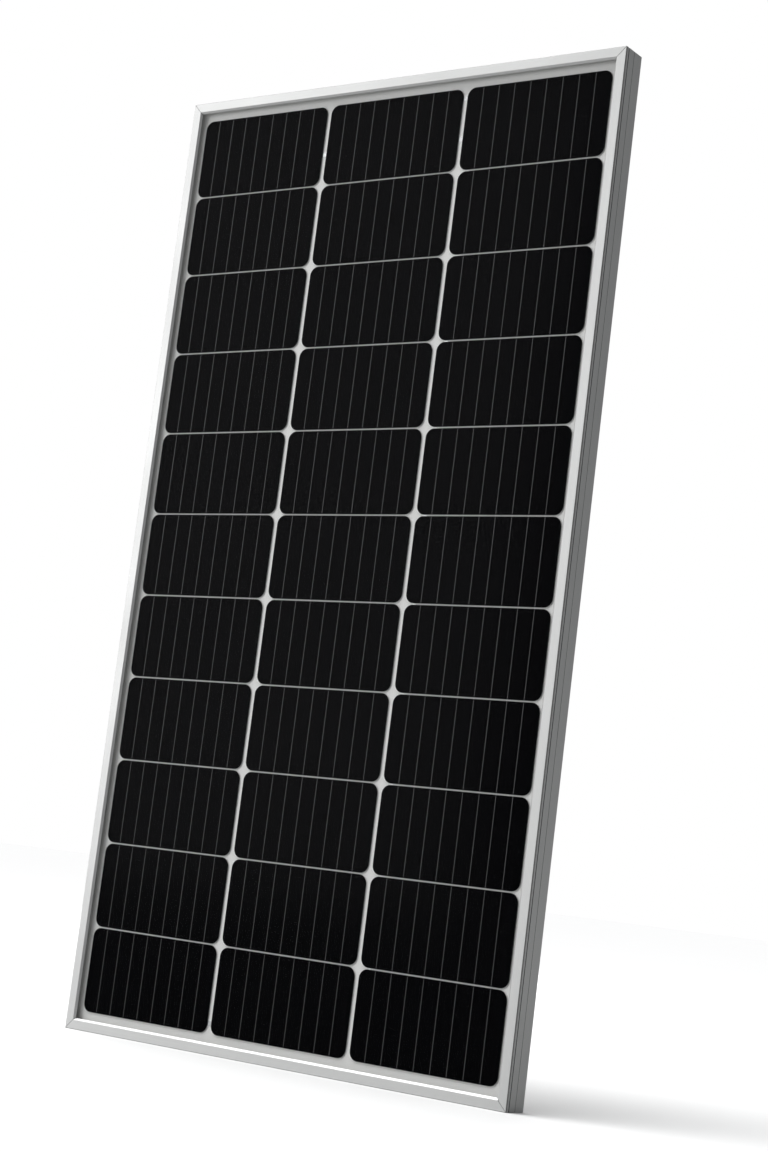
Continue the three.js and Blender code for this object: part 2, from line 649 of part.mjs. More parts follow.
// A saddle on a terminal, under one lead of a diode at x.
function saddle(x, side) {
  const a = x + side * SADDLE.near;
  const b = x + side * SADDLE.far;
  return block(Math.min(a, b), Math.max(a, b), TERMINAL_Y + TERMINAL_T - 0.2,
    DIODE_Y - LEAD_R - LAYER_GAP, DIODE_Z - SADDLE.depth / 2, DIODE_Z + SADDLE.depth / 2);
}

// The ears that a lead's bare end is crimped in, below each outer terminal.
function crimpEars(x) {
  return [-1, 1].map((side) =>
    block(x + side * CRIMP.reach - CRIMP.thick / 2, x + side * CRIMP.reach + CRIMP.thick / 2,
      TERMINAL_Y + TERMINAL_T - 0.2, TERMINAL_Y + TERMINAL_T + CRIMP.height,
      TERMINAL.z0, TERMINAL.z0 + CRIMP.length));
}

function terminalPlate(x) {
  const outline = roundedRectangle(
    x - TERMINAL.halfW, x + TERMINAL.halfW, TERMINAL.z0, TERMINAL.z1, TERMINAL.r);
  return plate(outline, TERMINAL_Y, TERMINAL_Y + TERMINAL_T);
}

const diodeX = [-TERMINAL_PITCH / 2, TERMINAL_PITCH / 2];

add('terminal_positive', shaped([
  terminalPlate(-TERMINAL_PITCH), saddle(diodeX[0], -1), ...crimpEars(-TERMINAL_PITCH),
]), MATERIALS.terminal);
add('terminal_middle', shaped([
  terminalPlate(0), saddle(diodeX[0], 1), saddle(diodeX[1], -1),
]), MATERIALS.terminal);
add('terminal_negative', shaped([
  terminalPlate(TERMINAL_PITCH), saddle(diodeX[1], 1), ...crimpEars(TERMINAL_PITCH),
]), MATERIALS.terminal);

diodeX.forEach((x, i) => {
  const profile = [
    [0, -LEAD_REACH],
    [LEAD_R, -LEAD_REACH],
    [LEAD_R, -DIODE.halfLength],
    [DIODE.r, -DIODE.halfLength],
    [DIODE.r, DIODE.halfLength],
    [LEAD_R, DIODE.halfLength],
    [LEAD_R, LEAD_REACH],
    [0, LEAD_REACH],
  ].map(([r, along]) => new THREE.Vector2(r, along));
  const diode = new THREE.LatheGeometry(profile, 12).rotateZ(Math.PI / 2)
    .translate(x, DIODE_Y, DIODE_Z);
  add(`bypass_diode_${i + 1}`, diode, MATERIALS.diode);
});

// ---------------------------------------------------------------- gland nuts

// A hexagon nut with a tapered nose, bored for the spigot and then for the cable. Its own axis is
// Z, so it can be turned in place.
function glandNut(x) {
  const corner = NUT_FLATS / 2 / Math.cos(Math.PI / 6);
  const hexagon = new THREE.CylinderGeometry(corner, corner, NUT_TOP_Z - NUT_SHOULDER_Z, 6)
    .rotateX(Math.PI / 2).translate(0, 0, (NUT_TOP_Z + NUT_SHOULDER_Z) / 2);
  const noseProfile = [
    [0, NUT_NOSE_Z],
    [SPIGOT_R, NUT_NOSE_Z],
    [NUT_COLLAR_R, NUT_SHOULDER_Z - 1],
    [NUT_COLLAR_R, NUT_SHOULDER_Z + 1],
    [0, NUT_SHOULDER_Z + 1],
  ].map(([r, z]) => new THREE.Vector2(r, z));
  const nose = new THREE.LatheGeometry(noseProfile, ROUND_STEPS).rotateX(Math.PI / 2);
  const seat = SPIGOT_END_Z - 1;
  return shaped([hexagon, nose], [
    barZ(SPIGOT_R + NUT_CLEARANCE, 0, 0, seat, NUT_TOP_Z + 1),
    barZ(CABLE_BORE_R, 0, 0, NUT_NOSE_Z - 1, seat + 1),
  ]).translate(x, GLAND_Y, 0);
}

add('gland_nut_positive', glandNut(GLAND_CENTRES[0]), MATERIALS.boxPlastic);
add('gland_nut_negative', glandNut(GLAND_CENTRES[1]), MATERIALS.boxPlastic);

export default panel;
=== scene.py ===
"""The looks of a framed photovoltaic panel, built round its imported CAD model. Metres, +Z up."""

import math

import bmesh
import bpy
from mathutils import Euler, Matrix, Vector


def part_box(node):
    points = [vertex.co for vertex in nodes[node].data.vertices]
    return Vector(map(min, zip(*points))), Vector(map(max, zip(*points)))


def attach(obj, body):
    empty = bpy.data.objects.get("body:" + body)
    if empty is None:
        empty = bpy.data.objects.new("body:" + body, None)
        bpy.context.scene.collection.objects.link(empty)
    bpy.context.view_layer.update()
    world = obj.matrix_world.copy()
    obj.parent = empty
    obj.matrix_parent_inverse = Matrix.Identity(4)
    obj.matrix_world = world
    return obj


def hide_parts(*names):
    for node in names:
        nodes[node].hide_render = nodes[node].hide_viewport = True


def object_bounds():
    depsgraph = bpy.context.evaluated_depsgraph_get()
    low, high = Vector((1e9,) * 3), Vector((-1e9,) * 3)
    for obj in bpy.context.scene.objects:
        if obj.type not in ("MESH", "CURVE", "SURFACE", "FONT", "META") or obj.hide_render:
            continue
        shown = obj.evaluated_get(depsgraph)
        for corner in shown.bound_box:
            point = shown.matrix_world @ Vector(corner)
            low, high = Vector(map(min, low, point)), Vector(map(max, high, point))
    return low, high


MM = 0.001
PANEL_BODY = "panel"
LID_BODY = "box_lid"

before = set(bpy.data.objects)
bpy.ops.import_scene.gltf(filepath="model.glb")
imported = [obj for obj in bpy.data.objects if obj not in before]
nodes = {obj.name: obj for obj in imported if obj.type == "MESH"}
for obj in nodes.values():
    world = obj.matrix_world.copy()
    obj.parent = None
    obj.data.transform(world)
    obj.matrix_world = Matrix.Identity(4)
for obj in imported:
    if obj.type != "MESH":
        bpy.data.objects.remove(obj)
cad_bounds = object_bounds()
scene = bpy.context.scene

# ---------------------------------------------------------------- camera

CAMERA_PLACE = (1.3130, -1.7263, 0.1898)
CAMERA_TURN_DEG = (97.908, -7.073, 35.157)
LENS_MM = 68.56

camera_data = bpy.data.cameras.new("camera")
camera_data.lens = LENS_MM
camera_data.sensor_width = 36
camera_data.clip_end = 100
camera = bpy.data.objects.new("camera", camera_data)
camera.location = CAMERA_PLACE
camera.rotation_euler = Euler([math.radians(a) for a in CAMERA_TURN_DEG])
scene.collection.objects.link(camera)
scene.camera = camera
scene.view_settings.view_transform = "Standard"

# ---------------------------------------------------------------- light

LIGHTS_AIM = Vector((0, 0, 0.5))
WORLD_SEEN = (1, 1, 1, 1)
WORLD_SEEN_STRENGTH = 1.0
WORLD_LIGHT = (0.96, 0.98, 1.0, 1)
WORLD_LIGHT_STRENGTH = 0.14


def area_light(name, place, size, power):
    data = bpy.data.lights.new(name, "AREA")
    data.shape = "RECTANGLE"
    data.size, data.size_y = size
    data.energy = power
    light = bpy.data.objects.new(name, data)
    light.location = place
    aim = LIGHTS_AIM - Vector(place)
    light.rotation_euler = aim.to_track_quat("-Z", "Y").to_euler()
    scene.collection.objects.link(light)


def sun_light(name, direction, width_deg, power):
    data = bpy.data.lights.new(name, "SUN")
    data.energy = power
    data.angle = math.radians(width_deg)
    light = bpy.data.objects.new(name, data)
    light.rotation_euler = Vector(direction).to_track_quat("-Z", "Y").to_euler()
    scene.collection.objects.link(light)


sun_light("overhead", (0.65, 0.42, -2.0), 46, 3.35)
area_light("softbox", (-5.4, -4.4, 2.3), (5.0, 4.6), 190)
area_light("back_fill", (-1.8, 3.2, 1.9), (2.0, 2.0), 34)


def background(tree, colour, strength):
    node = tree.nodes.new("ShaderNodeBackground")
    node.inputs["Color"].default_value = colour
    node.inputs["Strength"].default_value = strength
    return node.outputs["Background"]


def build_world():
    """A white studio that lights the panel only a little."""
    world = bpy.data.worlds.new("studio")
    world.use_nodes = True
    scene.world = world
    tree = world.node_tree
    tree.nodes.clear()
    output = tree.nodes.new("ShaderNodeOutputWorld")
    mix = tree.nodes.new("ShaderNodeMixShader")
    path = tree.nodes.new("ShaderNodeLightPath")
    tree.links.new(path.outputs["Is Camera Ray"], mix.inputs["Fac"])
    tree.links.new(background(tree, WORLD_LIGHT, WORLD_LIGHT_STRENGTH), mix.inputs[1])
    tree.links.new(background(tree, WORLD_SEEN, WORLD_SEEN_STRENGTH), mix.inputs[2])
    tree.links.new(mix.outputs["Shader"], output.inputs["Surface"])


build_world()

# ---------------------------------------------------------------- material helpers

# A colour Mix node's sockets, which share their names with its other types' sockets.
MIX_A = 6
MIX_B = 7
MIX_RESULT = 2


class Surface:
    """A material whose colour, roughness and bump come from small node networks."""

    def __init__(self, name, colour, roughness, metallic=0.0, **sockets):
        self.material = bpy.data.materials.new(name)
        self.material.use_nodes = True
        self.tree = self.material.node_tree
        self.shader = self.tree.nodes["Principled BSDF"]
        self.set("Base Color", (*colour, 1))
        self.set("Roughness", roughness)
        self.set("Metallic", metallic)
        for socket, value in sockets.items():
            self.set(socket.replace("_", " "), value)
        self.coordinates = self.node("TexCoord").outputs["Object"]

    def node(self, kind, **settings):
        made = self.tree.nodes.new("ShaderNode" + kind)
        for key, value in settings.items():
            setattr(made, key, value)
        return made

    def link(self, source, target):
        self.tree.links.new(source, target)

    def set(self, socket, value):
        self.shader.inputs[socket].default_value = value

    def noise(self, scale, stretch=(1, 1, 1), detail=3.0, rough=0.55):
        """A grey noise value; more stretch along an axis makes the grain finer along it."""
        mapping = self.node("Mapping")
        mapping.inputs["Scale"].default_value = stretch
        self.link(self.coordinates, mapping.inputs["Vector"])
        noise = self.node("TexNoise")
        noise.inputs["Scale"].default_value = scale
        noise.inputs["Detail"].default_value = detail
        noise.inputs["Roughness"].default_value = rough
        self.link(mapping.outputs["Vector"], noise.inputs["Vector"])
        return noise.outputs["Fac"]

    def span(self, value, low, high, start=0.3, end=0.7):
        """Maps a value from start..end on to low..high."""
        ranged = self.node("MapRange")
        limits = {"From Min": start, "From Max": end, "To Min": low, "To Max": high}
        for socket, number in limits.items():
            ranged.inputs[socket].default_value = number
        self.link(value, ranged.inputs["Value"])
        return ranged.outputs["Result"]

    def blend(self, factor, low, high):
        """Mixes two colours by a factor; either may be a colour or a socket."""
        mix = self.node("Mix", data_type="RGBA")
        self.link(factor, mix.inputs[0])
        for index, colour in ((MIX_A, low), (MIX_B, high)):
            if isinstance(colour, bpy.types.NodeSocket):
                self.link(colour, mix.inputs[index])
            else:
                mix.inputs[index].default_value = (*colour, 1)
        return mix.outputs[MIX_RESULT]

    def tint(self, factor, low, high):
        colour = self.blend(factor, low, high)
        self.link(colour, self.shader.inputs["Base Color"])

    def polish(self, factor, low, high):
        self.link(self.span(factor, low, high), self.shader.inputs["Roughness"])

    def bump(self, height, distance, strength=1.0):
        bump = self.node("Bump")
        bump.inputs["Distance"].default_value = distance
        bump.inputs["Strength"].default_value = strength
        self.link(height, bump.inputs["Height"])
        self.link(bump.outputs["Normal"], self.shader.inputs["Normal"])


def shade(colour, factor):
    return tuple(min(1.0, c * factor) for c in colour)


# ---------------------------------------------------------------- materials


def anodised(name, stretch):
    """Clear-anodised extrusion, with die lines along the rail."""
    colour = (0.74, 0.745, 0.74)
    surface = Surface(name, colour, 0.45, metallic=0.5)
    lines = surface.noise(1.0, stretch, detail=5, rough=0.7)
    cloud = surface.noise(9, detail=2)
    surface.tint(lines, shade(colour, 0.93), shade(colour, 1.05))
    surface.polish(cloud, 0.4, 0.5)
    surface.bump(lines, 0.00006, 0.5)
    return surface.material


def cast_metal():
    """Die-cast aluminium with a coarse grain."""
    colour = (0.46, 0.47, 0.48)
    surface = Surface("cast_aluminium", colour, 0.55, metallic=0.8)
    grain = surface.noise(900)
    surface.tint(grain, shade(colour, 0.8), shade(colour, 1.1))
    surface.bump(grain, 0.00008, 0.6)
    return surface.material


CELL_DARK = (0.0009, 0.0009, 0.0013)
CELL_LIGHT = (0.0018, 0.0018, 0.0024)
# What a cell's colour is multiplied by, at the two ends of its random draw.
DRAW_LOW = (0.78, 0.80, 0.84)
DRAW_HIGH = (1.2, 1.18, 1.12)
FINGER_COLOUR = (0.0035, 0.0035, 0.004)
FINGER_FADE = 0.93
FINGER_PITCH = 1.4 * MM
WAVE_UNITS = 20  # the Wave node's phase in radians at a distance of 1 and a scale of 1


def cell_silicon():
    """Anti-reflective silicon with hair-thin printed fingers across each cell."""
    surface = Surface("cell_silicon", (0.0024, 0.0025, 0.0031), 0.42, Specular_IOR_Level=0.006)
    info = surface.node("ObjectInfo")
    cloud = surface.noise(11, detail=2)
    tone = surface.blend(cloud, CELL_DARK, CELL_LIGHT)
    per_cell = surface.blend(info.outputs["Random"], DRAW_LOW, DRAW_HIGH)
    multiply = surface.node("Mix", data_type="RGBA", blend_type="MULTIPLY")
    multiply.inputs[0].default_value = 1.0
    surface.link(tone, multiply.inputs[MIX_A])
    surface.link(per_cell, multiply.inputs[MIX_B])
    fingers = surface.node("TexWave", wave_type="BANDS", bands_direction="Z", wave_profile="SIN")
    fingers.inputs["Scale"].default_value = 2 * math.pi / (WAVE_UNITS * FINGER_PITCH)
    surface.link(surface.coordinates, fingers.inputs["Vector"])
    line = surface.span(fingers.outputs["Fac"], 0.0, 1.0, FINGER_FADE, 1.0)
    colour = surface.blend(line, multiply.outputs[MIX_RESULT], FINGER_COLOUR)
    surface.link(colour, surface.shader.inputs["Base Color"])
    surface.polish(surface.noise(5, detail=1), 0.28, 0.42)
    return surface.material


def tinned(name, colour=(0.60, 0.61, 0.62), roughness=0.36, metallic=0.85):
    """Metal with a thin cloudy coat, uneven in tone and gloss."""
    surface = Surface(name, colour, roughness, metallic=metallic)
    cloud = surface.noise(260, detail=4)
    surface.tint(cloud, shade(colour, 0.82), shade(colour, 1.12))
    surface.polish(cloud, roughness - 0.08, roughness + 0.12)
    surface.bump(cloud, 0.00004, 0.5)
    return surface.material


def white_film():
    """White laminated film: a faint orange-peel, slightly uneven in tone."""
    colour = (0.90, 0.905, 0.89)
    surface = Surface("backsheet_film", colour, 0.46, Specular_IOR_Level=0.4)
    peel = surface.noise(320, detail=2)
    cloud = surface.noise(4, detail=3)
    surface.tint(cloud, shade(colour, 0.97), shade(colour, 1.02))
    surface.polish(cloud, 0.4, 0.52)
    surface.bump(peel, 0.00012, 0.35)
    return surface.material


def pane_glass():
    """Low-iron glass with an anti-reflective face."""
    surface = Surface("pane_glass", (0.006, 0.007, 0.007), 0.12, Alpha=0.02, IOR=1.45)
    surface.bump(surface.noise(500, detail=1), 0.00001, 0.2)
    surface.tint(surface.noise(3), (0.005, 0.006, 0.006), (0.007, 0.008, 0.008))
    return surface.material


def moulded(name, colour, roughness, grain=1500, depth=0.00005):
    """Moulded plastic or rubber with a fine spark-eroded grain."""
    surface = Surface(name, colour, roughness, Specular_IOR_Level=0.45)
    fine = surface.noise(grain, detail=2)
    cloud = surface.noise(24, detail=3)
    surface.tint(cloud, shade(colour, 0.82), shade(colour, 1.25))
    surface.polish(cloud, roughness - 0.07, roughness + 0.07)
    surface.bump(fine, depth, 0.6)
    return surface.material


FLOOR_SEEN = (0.91, 0.91, 0.91)
FLOOR_BOUNCE = (0.34, 0.34, 0.34)


def floor_paint():
    """Pale paint that looks lighter to the camera than the light it throws on the panel."""
    surface = Surface("floor_paint", FLOOR_SEEN, 0.75, Specular_IOR_Level=0.05)
    path = surface.node("LightPath")
    mottle = surface.blend(surface.noise(1.5), shade(FLOOR_SEEN, 0.985), shade(FLOOR_SEEN, 1.0))
    surface.tint(path.outputs["Is Camera Ray"], FLOOR_BOUNCE, mottle)
    return surface.material


FRAME_LONG = anodised("anodised_upright", (900, 900, 6))
FRAME_CROSS = anodised("anodised_cross", (6, 900, 900))
# A darker aluminium: painted shade for the rails' groove floors and mitre cuts.
GROOVE_SHADE_METAL = tinned("painted_shade_aluminium", (0.16, 0.16, 0.16), 0.6, 0.4)
CAST = cast_metal()
CELL = cell_silicon()
WIRE = tinned("interconnect_wire", (0.085, 0.085, 0.088), 0.45, 0.4)
TINNED = tinned("tinned_copper")
SOLDER = tinned("solder", (0.66, 0.67, 0.68), 0.28)
FILM = white_film()
SEAL = moulded("edge_sealant", (0.62, 0.62, 0.60), 0.6, 500)
SILICONE = moulded("silicone_bead", (0.70, 0.70, 0.68), 0.38, 300, 0.00012)
GLASS = pane_glass()
BOX_PLASTIC = moulded("box_plastic", (0.020, 0.020, 0.022), 0.48)
NUT_PLASTIC = moulded("nut_plastic", (0.024, 0.024, 0.026), 0.42)
RUBBER = moulded("rubber", (0.012, 0.012, 0.012), 0.78)
EPOXY = moulded("diode_epoxy", (0.016, 0.016, 0.018), 0.34)
BAND = moulded("diode_band", (0.55, 0.56, 0.57), 0.5)
LABEL = moulded("label_film", (0.72, 0.73, 0.73), 0.34, 600)
LABEL_RULE = moulded("label_rule", (0.10, 0.10, 0.11), 0.5)

# ---------------------------------------------------------------- mesh helpers


def piece(name, mesh, material, body=PANEL_BODY, replaced=()):
    """Puts a finished mesh in the scene as a piece that rides on a body."""
    made = bpy.data.objects.new(name, mesh)
    scene.collection.objects.link(made)
    finishes = material if isinstance(material, list) else [material]
    for finish in finishes:
        mesh.materials.append(finish)
    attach(made, body)
    if replaced:
        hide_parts(*replaced)
    return made


def mesh_of(name, bm, smooth_deg=None):
    """Turns a bmesh into a mesh, smooth where its faces meet at less than an angle."""
    bmesh.ops.recalc_face_normals(bm, faces=bm.faces)
    mesh = bpy.data.meshes.new(name)
    bm.to_mesh(mesh)
    bm.free()
    if smooth_deg is not None:
        mesh.shade_smooth()
        mesh.set_sharp_from_angle(angle=math.radians(smooth_deg))
    return mesh


def dress(node, material):
    """Gives a CAD node that stays as it is its material."""
    mesh = nodes[node].data
    mesh.materials.clear()
    mesh.materials.append(material)


WELD = 0.002 * MM  # points closer than this are one
FLAT_DEG = 0.6  # faces that meet at less than this are one
EDGE_DEG = 32  # edges sharper than this are bevelled


def bevelled(node, material, width, body=PANEL_BODY, segments=2):
    """A copy of a CAD node with its edges broken, which stands for it."""
    bm = bmesh.new()
    bm.from_mesh(nodes[node].data)
    bmesh.ops.remove_doubles(bm, verts=bm.verts, dist=WELD)
    bmesh.ops.dissolve_limit(
        bm, angle_limit=math.radians(FLAT_DEG), verts=bm.verts, edges=bm.edges)
    source = mesh_of(node + "_source", bm, EDGE_DEG)
    holder = bpy.data.objects.new(node + "_holder", source)
    scene.collection.objects.link(holder)
    bevel = holder.modifiers.new("bevel", "BEVEL")
    bevel.width = width
    bevel.segments = segments
    bevel.limit_method = "ANGLE"
    bevel.angle_limit = math.radians(EDGE_DEG)
    bevel.use_clamp_overlap = True
    bevel.miter_outer = "MITER_ARC"
    weighted = holder.modifiers.new("flat_faces", "WEIGHTED_NORMAL")
    weighted.mode = "FACE_AREA"
    weighted.weight = 100
    weighted.keep_sharp = True
    bpy.context.view_layer.update()
    evaluated = holder.evaluated_get(bpy.context.evaluated_depsgraph_get())
    mesh = bpy.data.meshes.new_from_object(evaluated)
    bpy.data.objects.remove(holder)
    mesh.name = node + "_broken_edges"
    mesh.materials.clear()
    return piece(node + "_finished", mesh, material, body, (node,))


def lathe(bm, profile, axis_place, along, steps, material_index=0):
    """Revolves [radius, distance] points round an axis along X or Z through a point."""
    rings = []
    for radius, distance in profile:
        ring = []
        for i in range(steps):
            a = 2 * math.pi * i / steps
            around = (radius * math.cos(a), radius * math.sin(a))
            if along == "X":
                offset = Vector((distance, *around))
            else:
                offset = Vector((*around, distance))
            ring.append(bm.verts.new(Vector(axis_place) + offset))
        rings.append(ring)
    for lower, upper in zip(rings, rings[1:]):
        for i in range(steps):
            j = (i + 1) % steps
            face = bm.faces.new((lower[i], lower[j], upper[j], upper[i]))
            face.material_index = material_index
    return rings


def capped_lathe(bm, profile, axis_place, along, steps, material_index=0):
    rings = lathe(bm, profile, axis_place, along, steps, material_index)
    for ring in (rings[0], rings[-1]):
        bm.faces.new(ring).material_index = material_index


def strip(bm, start, end, width, base_y, height, crown=0.55):
    """A low flat-topped ridge along X or Z that stands out of a plane of constant y by height."""
    start, end = Vector(start), Vector(end)
    side = Vector((0, 1, 0)).cross((end - start).normalized())
    section = ((-0.5, 0.0), (-0.5 * crown, 1.0), (0.5 * crown, 1.0), (0.5, 0.0))
    loops = []
    for centre in (start, end):
        loops.append([
            bm.verts.new(centre + side * width * across + Vector((0, base_y + height * up, 0)))
            for across, up in section
        ])
    first, last = loops
    for i in range(len(section)):
        j = (i + 1) % len(section)
        bm.faces.new((first[i], first[j], last[j], last[i]))
    bm.faces.new(first)
    bm.faces.new(list(reversed(last)))


def rounded_outline(low, high, radius, steps):
    """Points round a rounded rectangle in X and Z, each as (x, z, outward x, outward z)."""
    points = []
    centres = (
        (high[0] - radius, high[1] - radius, 0),
        (low[0] + radius, high[1] - radius, 1),
        (low[0] + radius, low[1] + radius, 2),
        (high[0] - radius, low[1] + radius, 3),
    )
    for x, z, quarter in centres:
        for i in range(steps + 1):
            a = math.pi / 2 * (quarter + i / steps)
            out_x, out_z = math.cos(a), math.sin(a)
            points.append((x + radius * out_x, z + radius * out_z, out_x, out_z))
    return points


# ---------------------------------------------------------------- frame

RAIL_EDGE = 0.14 * MM
OUTER_X = cad_bounds[1][0]
OUTER_Z = cad_bounds[1][2]
GROOVE_FLOOR = (0.12 * MM, 0.75 * MM)  # how far in from the outer face
SHADE_SLOT = 1  # the painted-shade material's place in a rail's materials
# Limits on a face normal's parts, for telling a groove's floor and a mitre's cut.
BACK_MOST = 0.95
MITRE_SPREAD = 0.05
MITRE_LEAST = 0.6


def shade_painted_faces(mesh):
    """Paints shade on the floors of the side grooves and the cut ends of a rail, by giving those
    faces a darker aluminium.
    """
    for face in mesh.polygons:
        x, _, z = face.center
        depth = min(OUTER_X - abs(x), z, OUTER_Z - z)
        across, back, up = (abs(part) for part in face.normal)
        in_groove = GROOVE_FLOOR[0] < depth < GROOVE_FLOOR[1] and back < BACK_MOST
        at_mitre = abs(across - up) < MITRE_SPREAD and across > MITRE_LEAST
        if in_groove or at_mitre:
            face.material_index = SHADE_SLOT


RAIL_FINISHES = {
    "left": FRAME_LONG, "right": FRAME_LONG, "top": FRAME_CROSS, "bottom": FRAME_CROSS,
}
for rail, rail_finish in RAIL_FINISHES.items():
    made_rail = bevelled("frame_rail_" + rail, [rail_finish, GROOVE_SHADE_METAL], RAIL_EDGE)
    # Paints shade into the rail's groove floors and mitre cuts.
    shade_painted_faces(made_rail.data)
for name in nodes:
    if name.startswith("corner_key"):
        dress(name, CAST)

# ---------------------------------------------------------------- laminate

glass_low, glass_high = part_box("front_glass")
sheet_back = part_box("front_encapsulant")[1].y


def laminate_pane():
    """Glass with the encapsulant cured on to it, its edges ground."""
    bm = bmesh.new()
    bmesh.ops.create_cube(bm, size=1)
    low, high = glass_low, Vector((glass_high.x, sheet_back, glass_high.z))
    for v in bm.verts:
        v.co = Vector(((low[i] + high[i]) / 2 + v.co[i] * (high[i] - low[i]) for i in range(3)))
    bmesh.ops.bevel(bm, geom=bm.edges[:], offset=0.5 * MM, segments=3, affect="EDGES", profile=0.5)
    piece("laminate_pane", mesh_of("laminate_pane", bm), GLASS,
          replaced=("front_glass", "front_encapsulant", "rear_encapsulant"))


laminate_pane()
dress("edge_seal", SEAL)
dress("backsheet", FILM)
for name in nodes:
    if name.startswith("cell_"):
        dress(name, CELL)
    if "ribbon" in name:
        dress(name, TINNED)

WIRES_PER_CELL = 8
WIRE_WIDTH = 0.65 * MM
WIRE_HEIGHT = 0.045 * MM


def interconnect_wires():
    """Flat tinned wires down the face of each cell, evenly spaced across it."""
    for column in ("left", "middle", "right"):
        bm = bmesh.new()
        for name in sorted(nodes):
            if not name.startswith("cell_" + column):
                continue
            low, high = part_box(name)
            pitch = (high.x - low.x) / (WIRES_PER_CELL + 1)
            for i in range(WIRES_PER_CELL):
                x = low.x + pitch * (i + 1)
                strip(bm, (x, low.y, low.z), (x, low.y, high.z), WIRE_WIDTH, 0, -WIRE_HEIGHT)
        piece("interconnect_wires_" + column, mesh_of("wires_" + column, bm), WIRE)


interconnect_wires()

# ---------------------------------------------------------------- back of the laminate

back_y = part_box("backsheet")[1].y
SURFACE_GAP = 0.02 * MM  # keeps a piece just off the surface it lies on
RIDGE_HEIGHT = 0.14 * MM
RIDGE_WIDTH = 9 * MM
RIDGE_INSET = 2.5 * MM  # from a ribbon's outer edge to the middle of its ridge
LEAD_RUN = 146 * MM  # how far each lead ribbon runs across the panel


def ribbon_ridges():
    """Where the backsheet has been pressed over the ribbons behind the cells."""
    bm = bmesh.new()
    lead_low, lead_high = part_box("lead_ribbon_negative")
    for name in ("bus_ribbon_bottom", "bus_ribbon_top"):
        low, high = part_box(name)
        z = (low.z + high.z) / 2 if name.endswith("bottom") else high.z - RIDGE_INSET
        strip(bm, (low.x, back_y, z), (high.x, back_y, z), RIDGE_WIDTH, 0, RIDGE_HEIGHT)
    left_low, left_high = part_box("lead_ribbon_positive")
    z = left_high.z - RIDGE_INSET
    end = left_low.x + LEAD_RUN
    strip(bm, (left_low.x, back_y, z), (end, back_y, z), RIDGE_WIDTH, 0, RIDGE_HEIGHT)
    z = lead_low.z + RIDGE_INSET
    x = lead_high.x - LEAD_RUN
    strip(bm, (x, back_y, z), (lead_high.x, back_y, z), RIDGE_WIDTH, 0, RIDGE_HEIGHT)
    strip(bm, (x, back_y, lead_low.z), (x, back_y, lead_high.z), RIDGE_WIDTH, 0, RIDGE_HEIGHT)
    piece("backsheet_ridges", mesh_of("backsheet_ridges", bm, 60), FILM)


ribbon_ridges()

base_low, base_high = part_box("junction_box_base")
FOOT_BOTTOM_Z = 0.852
FOOT_TOP_Z = 0.944
FOOT_LOW = (base_low.x, FOOT_BOTTOM_Z)
FOOT_HIGH = (base_high.x, FOOT_TOP_Z)
FOOT_RADIUS = 10 * MM

BEAD_STEP = 2.0 * MM
BEAD_ARC = 6
# In millimetres: how far the bead tucks under the foot, stands out from it and rises.
BEAD_TUCK = 1.2
BEAD_OUT = 2.3
BEAD_RISE = 1.25
BEAD_RISE_SWELL = 0.25
# Each wave round the bead as its size, how many times it repeats, and its phase.
BEAD_WAVES = ((0.16, 5, 0.7), (0.10, 17, 0), (0.06, 41, 2))


def silicone_bead():
    """The bead squeezed out round the box's glued foot, uneven as a hand-run bead is."""
    outline = rounded_outline(FOOT_LOW, FOOT_HIGH, FOOT_RADIUS, 14)
    dense = []
    for (x0, z0, nx0, nz0), (x1, z1, nx1, nz1) in zip(outline, outline[1:] + outline[:1]):
        count = max(1, round(math.hypot(x1 - x0, z1 - z0) / BEAD_STEP))
        for i in range(count):
            t = i / count
            dense.append((x0 + (x1 - x0) * t, z0 + (z1 - z0) * t,
                          nx0 + (nx1 - nx0) * t, nz0 + (nz1 - nz0) * t))
    bm = bmesh.new()
    loops = []
    for i, (x, z, nx, nz) in enumerate(dense):
        a = 2 * math.pi * i / len(dense)
        swell = 1
        for size, repeats, phase in BEAD_WAVES:
            swell += size * math.sin(repeats * a + phase)
        loop = []
        for k in range(BEAD_ARC + 1):
            b = math.pi / 2 * k / BEAD_ARC
            out = -BEAD_TUCK * MM + (BEAD_TUCK + BEAD_OUT * swell) * MM * math.sin(b)
            up = SURFACE_GAP + (BEAD_RISE + BEAD_RISE_SWELL * swell) * MM * math.cos(b)
            loop.append(bm.verts.new((x + nx * out, back_y + up, z + nz * out)))
        under = (x - nx * BEAD_TUCK * MM, back_y + SURFACE_GAP, z - nz * BEAD_TUCK * MM)
        loop.append(bm.verts.new(under))
        loops.append(loop)
    for first, second in zip(loops, loops[1:] + loops[:1]):
        for i in range(len(first)):
            j = (i + 1) % len(first)
            bm.faces.new((first[i], first[j], second[j], second[i]))
    piece("silicone_bead", mesh_of("silicone_bead", bm, 60), SILICONE)


silicone_bead()


def flat_sheet(bm, low, high, radius, y0, y1, material_index=0):
    """A thin rounded sheet in X and Z between two y planes."""
    outline = rounded_outline(low, high, radius, 6)
    near = [bm.verts.new((x, y0, z)) for x, z, _, _ in outline]
    far = [bm.verts.new((x, y1, z)) for x, z, _, _ in outline]
    faces = [bm.faces.new(near), bm.faces.new(list(reversed(far)))]
    for i in range(len(outline)):
        j = (i + 1) % len(outline)
        faces.append(bm.faces.new((near[j], near[i], far[i], far[j])))
    for face in faces:
        face.material_index = material_index


LABEL_LOW = (-0.062, 0.715)
LABEL_HIGH = (0.062, 0.805)
LABEL_THICK = 0.15 * MM
LABEL_RADIUS = 3 * MM
LABEL_INSET = 5 * MM
LABEL_ROWS = 6
LABEL_SPLIT = 0.6
RULE_WIDTH = 0.5 * MM
RULE_HEIGHT = 0.03 * MM
RULE_RADIUS = 0.1 * MM


